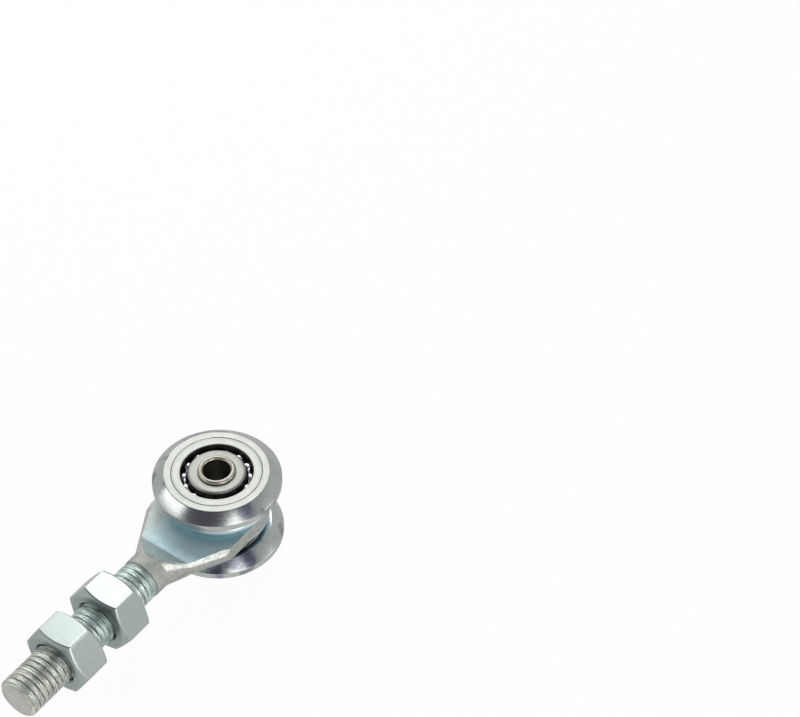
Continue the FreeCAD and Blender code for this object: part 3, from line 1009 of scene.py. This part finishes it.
class TROLLEY_OT_stage(bpy.types.Operator):
    """Pale floor, soft studio light and the camera"""

    bl_idname = "trolley.stage"
    bl_label = "Stage"

    def execute(self, context):
        scene = context.scene
        scene.view_settings.view_transform = "Standard"

        gap, reach = 0.02 * MM, 3.0
        corners = [(-reach, -reach), (reach, -reach), (reach, reach), (-reach, reach)]
        mesh = bpy.data.meshes.new("studio_floor")
        mesh.from_pydata([(x, y, AXLE_LOW.z - gap) for x, y in corners], [], [(0, 1, 2, 3)])
        mesh.materials.append(pale_floor(scene.trolley_finishes))
        floor = add_object("studio_floor", mesh)

        self.light_world(scene)
        self.hang_lamp("back_softbox", turn=53, lift=30, roll=0, wide=0.52, tall=0.72, brightness=1.35)
        self.hang_lamp("top_softbox", turn=34, lift=60, roll=0, wide=0.32, tall=0.28, brightness=2.9)
        self.hang_lamp("left_softbox", turn=125, lift=38, roll=25, wide=0.56, tall=0.22, brightness=2.2)
        self.hang_lamp("front_strip", turn=-106, lift=27, roll=17, wide=0.29, tall=0.80, brightness=2.2)
        self.hang_lamp("low_strip", turn=-62, lift=17, roll=0, wide=0.26, tall=0.30, brightness=2.8)
        self.set_camera(scene)
        return {"FINISHED"}

    def light_world(self, scene):
        """A soft grey room: pale at the horizon, darker overhead, with two dark patches to mirror."""
        world = bpy.data.worlds.new("Studio Room")
        scene.world = world
        world.use_nodes = True
        tree = world.node_tree
        tree.nodes.clear()
        ray = put(tree, "ShaderNodeTexCoord").outputs["Generated"]
        parts = put(tree, "ShaderNodeSeparateXYZ", {0: ray}).outputs
        horizon, overhead = (0.78, 0.78, 0.76, 1), (0.46, 0.48, 0.49, 1)
        tone = mixed(tree, spread(tree, parts["Z"], 0.42, 0.78), horizon, overhead)
        # Each dark patch: its direction, the cosines where it starts and is full, and its colour
        patches = (
            ((-0.54, -0.05, 0.84), 0.80, 0.97, (0.11, 0.105, 0.14, 1)),
            ((0.07, -0.654, 0.753), 0.978, 0.993, (0.10, 0.11, 0.22, 1)),
        )
        for direction, starts, full, dark in patches:
            values = {0: ray, 1: direction}
            facing = put(tree, "ShaderNodeVectorMath", values, operation="DOT_PRODUCT").outputs["Value"]
            tone = mixed(tree, spread(tree, facing, starts, full), tone, dark)
        light = put(tree, "ShaderNodeBackground", {"Color": tone, "Strength": 1.0})
        put(tree, "ShaderNodeOutputWorld", {"Surface": light.outputs[0]})

    def hang_lamp(self, name, turn, lift, roll, wide, tall, brightness):
        """A soft area lamp facing the object, its angles in degrees, as bright as a mirror shows it."""
        away = 0.8
        lamp = bpy.data.lights.new(name, "AREA")
        lamp.shape, lamp.size, lamp.size_y = "RECTANGLE", wide, tall
        lamp.energy = brightness * math.pi * wide * tall
        turn, lift, roll = math.radians(turn), math.radians(lift), math.radians(roll)
        aim = Vector((math.cos(lift) * math.cos(turn), math.cos(lift) * math.sin(turn), math.sin(lift)))
        facing = aim.to_track_quat("Z", "Y").to_matrix().to_4x4() @ Matrix.Rotation(roll, 4, "Z")
        add_object(name, lamp).matrix_world = Matrix.Translation(aim * away) @ facing

    def set_camera(self, scene):
        """The camera at the photograph's viewing angle."""
        turn, tilt, roll = math.radians(-55.555), math.radians(45.135), math.radians(1.296)
        eye = Vector((-0.291786, -0.261417, 0.450427))
        back = Vector((math.sin(turn) * math.cos(tilt), -math.cos(turn) * math.cos(tilt), math.sin(tilt)))
        right = Vector((math.cos(turn), math.sin(turn), 0))
        up = back.cross(right)
        rolled_right = right * math.cos(roll) + up * math.sin(roll)
        rolled_up = up * math.cos(roll) - right * math.sin(roll)
        camera = bpy.data.cameras.new("studio_camera")
        camera.lens, camera.sensor_width = 93.864, 36.0
        camera.clip_start, camera.clip_end = 0.01, 20.0
        facing = Matrix((rolled_right, rolled_up, back)).transposed().to_4x4()
        scene.camera = add_object("studio_camera", camera)
        scene.camera.matrix_world = Matrix.Translation(eye) @ facing


class TROLLEY_OT_eye_bolt(bpy.types.Operator):
    """The forged eye bolt: paddle, flare, neck and rolled thread in one"""

    bl_idname = "trolley.eye_bolt"
    bl_label = "Eye Bolt"

    def execute(self, context):
        sizes, finishes = context.scene.trolley_sizes, context.scene.trolley_finishes
        material = zinc_forging(finishes, sizes)
        rings, root = forging_rings(sizes)
        rows_per_pitch, spare_pitches, sharp = 16, 2.2, 35.0
        end = -BOLT_LOW.x
        pitches = (end - sizes.neck_end) / sizes.thread_pitch + spare_pitches
        thread = grown(
            "rolled_thread",
            thread_tree(),
            {
                "Radius": sizes.thread_radius,
                "Pitch": sizes.thread_pitch,
                "Depth": sizes.thread_depth,
                "Start": sizes.neck_end,
                "End": end,
                "Run Out": sizes.thread_run_out,
                "Root Radius": root,
                "End Chamfer": sizes.end_chamfer,
                "Points Round": NECK_ROUND,
                "Rows": math.ceil(pitches * rows_per_pitch),
                "Rows per Pitch": float(rows_per_pitch),
                "Material": material,
            },
        )
        made = skin(rings, closed=False)
        made.from_mesh(thread)
        bpy.data.meshes.remove(thread)
        blank = settle(made, "eye_bolt", sharp)
        piece = add_object("eye_bolt", punched(blank, sizes, sharp))
        mark(piece, "sheared_edge", on_facet)
        mark(piece, "pressed_flat", on_flat)
        fit(piece, material, "hanger", ["hanger_bolt"])
        return {"FINISHED"}


class TROLLEY_OT_nuts(bpy.types.Operator):
    """The two hexagon nuts on the bolt"""

    bl_idname = "trolley.nuts"
    bl_label = "Nuts"

    def execute(self, context):
        sizes, finishes = context.scene.trolley_sizes, context.scene.trolley_finishes
        material = zinc_nut(finishes)
        turns = {"inner_nut": sizes.inner_nut_turn, "outer_nut": sizes.outer_nut_turn}
        for name, (low, high) in NUTS.items():
            middle, half = (low.x + high.x) / 2, (high.x - low.x) / 2
            rings = nut_rings(sizes, turns[name], middle, half)
            piece = settle(skin(rings), name.replace("nut", "hex_nut"), sharp=16.0)
            mark(piece, "end_face", on_nut_end)
            fit(piece, material, name, [name])
        return {"FINISHED"}


class TROLLEY_OT_rims(bpy.types.Operator):
    """The two turned roller rims"""

    bl_idname = "trolley.rims"
    bl_label = "Roller Rims"

    def execute(self, context):
        sizes, finishes = context.scene.trolley_sizes, context.scene.trolley_finishes
        material = zinc_rim(finishes)
        edge, land, level = sizes.rim_edge, sizes.rim_land / 2, 0.98
        corners = [
            (sizes.rim_bore, -HALF_RIM, edge),
            (sizes.rim_face, -HALF_RIM, edge),
            (RIM_HIGH.x, -land, edge),
            (RIM_HIGH.x, land, edge),
            (sizes.rim_face, HALF_RIM, sizes.rim_face_round),
            (sizes.rim_bore, HALF_RIM, edge),
        ]
        for side, sign in SIDES.items():
            outline = [(r, sign * z) for r, z in rounded_outline(corners)]
            piece = turned(f"{side}_roller_rim", outline, sign * ROLLER_HEIGHT)
            mark(piece, "ground_face", lambda normal, middle: sign * normal.z > level)
            mark(piece, "inner_side", lambda normal, middle: sign * normal.z < -level)
            fit(piece, material, f"{side}_roller", [f"{side}_rim"])
        return {"FINISHED"}


class TROLLEY_OT_races(bpy.types.Operator):
    """The bearings' outer and inner races with their ball grooves"""

    bl_idname = "trolley.races"
    bl_label = "Bearing Races"

    def execute(self, context):
        sizes, finishes = context.scene.trolley_sizes, context.scene.trolley_finishes
        material = zinc_race(finishes, sizes)
        inner, outer = INNER_RACE_RADIUS, INNER_RACE_RADIUS + sizes.race_gap
        groove, ball_circle = BALL_RADIUS + sizes.ball_play, (inner + outer) / 2
        bore, outside, top = sizes.eye_radius, OUTER_RACE_RADIUS, HALF_RIM
        small, large = sizes.race_edge, sizes.inner_race_edge
        outlines = {
            "outer": [
                (outer, -top, small),
                (outside, -top, small),
                (outside, top, small),
                (outer, top, small),
                *[(r, z, 0) for r, z in reversed(groove_arc(1, groove, ball_circle, outer))],
            ],
            "inner": [
                (inner, top, large),
                (bore, top, small),
                (bore, -top, small),
                (inner, -top, large),
                *[(r, z, 0) for r, z in groove_arc(-1, groove, ball_circle, inner)],
            ],
        }
        bodies = {"outer": "{}_roller", "inner": "hanger"}
        for side, sign in SIDES.items():
            for kind, corners in outlines.items():
                outline = rounded_outline(corners)
                piece = turned(f"{side}_bearing_{kind}", outline, sign * ROLLER_HEIGHT, count=192)
                mark(piece, "inner_ring", lambda normal, middle: kind == "inner")
                fit(piece, material, bodies[kind].format(side), [f"{side}_{kind}_race"])
        return {"FINISHED"}


class TROLLEY_OT_balls(bpy.types.Operator):
    """The polished balls of both bearings"""

    bl_idname = "trolley.balls"
    bl_label = "Balls"

    def execute(self, context):
        sizes, finishes = context.scene.trolley_sizes, context.scene.trolley_finishes
        material = polished_ball(finishes)
        tree = ball_tree()
        for side, sign in SIDES.items():
            name = f"{side}_balls"
            mesh = grown(
                name,
                tree,
                {
                    "Balls": sizes.ball_count,
                    "Ball Radius": BALL_RADIUS,
                    "Ball Circle": INNER_RACE_RADIUS + sizes.race_gap / 2,
                    "First Angle": sizes.first_ball,
                    "Height": sign * ROLLER_HEIGHT,
                    "Material": material,
                },
            )
            piece = add_object(name, mesh)
            nodes = [f"{side}_ball_{number + 1:02d}" for number in range(sizes.ball_count)]
            fit(piece, material, f"{side}_ball_ring", nodes)
        return {"FINISHED"}


class TROLLEY_OT_axle(bpy.types.Operator):
    """The hollow axle with its rolled lips, and the bushes on it"""

    bl_idname = "trolley.axle"
    bl_label = "Axle and Bushes"

    def execute(self, context):
        sizes, finishes = context.scene.trolley_sizes, context.scene.trolley_finishes
        tube = turned("axle_rivet", axle_outline(sizes), 0.0, count=160)
        fit(tube, nickel_tube(finishes), "hanger", ["axle_tube"])

        material = zinc_bush(finishes)
        bush_half = (BUSH_HIGH.z - BUSH_LOW.z) / 2
        edge, foot_edge = 0.2 * MM, 0.1 * MM
        flange_top = sizes.flange_thickness - bush_half
        corners = [
            (sizes.eye_radius, -bush_half, edge),
            (sizes.flange_radius, -bush_half, foot_edge),
            (sizes.flange_radius, flange_top, sizes.flange_round),
            (sizes.bush_radius, flange_top, edge),
            (sizes.bush_radius, bush_half, edge),
            (sizes.eye_radius, bush_half, edge),
        ]
        for side, sign in SIDES.items():
            height = sign * (BUSH_LOW.z + BUSH_HIGH.z) / 2
            outline = [(r, sign * z) for r, z in rounded_outline(corners)]
            bush = turned(f"{side}_bush", outline, height, count=192)
            fit(bush, material, "hanger", [f"{side}_spacer"])
        return {"FINISHED"}


class TROLLEY_PT_panel(bpy.types.Panel):
    """The trolley's pieces, sizes and finishes"""

    bl_idname = "TROLLEY_PT_panel"
    bl_label = "Gate Trolley"
    bl_space_type = "VIEW_3D"
    bl_region_type = "UI"
    bl_category = "Gate Trolley"

    def draw(self, context):
        layout = self.layout
        for operator in OPERATORS:
            layout.operator(operator.bl_idname)
        for group in (context.scene.trolley_sizes, context.scene.trolley_finishes):
            column = layout.column(align=True)
            for name in group.__annotations__:
                column.prop(group, name)


OPERATORS = (
    TROLLEY_OT_stage,
    TROLLEY_OT_eye_bolt,
    TROLLEY_OT_nuts,
    TROLLEY_OT_rims,
    TROLLEY_OT_races,
    TROLLEY_OT_balls,
    TROLLEY_OT_axle,
)
CLASSES = (TrolleySizes, TrolleyFinishes) + OPERATORS + (TROLLEY_PT_panel,)


def register():
    """Registers the classes and gives the scene its sizes and finishes."""
    for each in CLASSES:
        bpy.utils.register_class(each)
    bpy.types.Scene.trolley_sizes = bpy.props.PointerProperty(type=TrolleySizes)
    bpy.types.Scene.trolley_finishes = bpy.props.PointerProperty(type=TrolleyFinishes)


def unregister():
    """Takes back what register did."""
    del bpy.types.Scene.trolley_finishes
    del bpy.types.Scene.trolley_sizes
    for each in reversed(CLASSES):
        bpy.utils.unregister_class(each)


def main():
    """Builds the stage and every piece."""
    register()
    bpy.ops.trolley.stage()
    bpy.ops.trolley.eye_bolt()
    bpy.ops.trolley.nuts()
    bpy.ops.trolley.rims()
    bpy.ops.trolley.races()
    bpy.ops.trolley.balls()
    bpy.ops.trolley.axle()


if __name__ == "__main__":
    main()
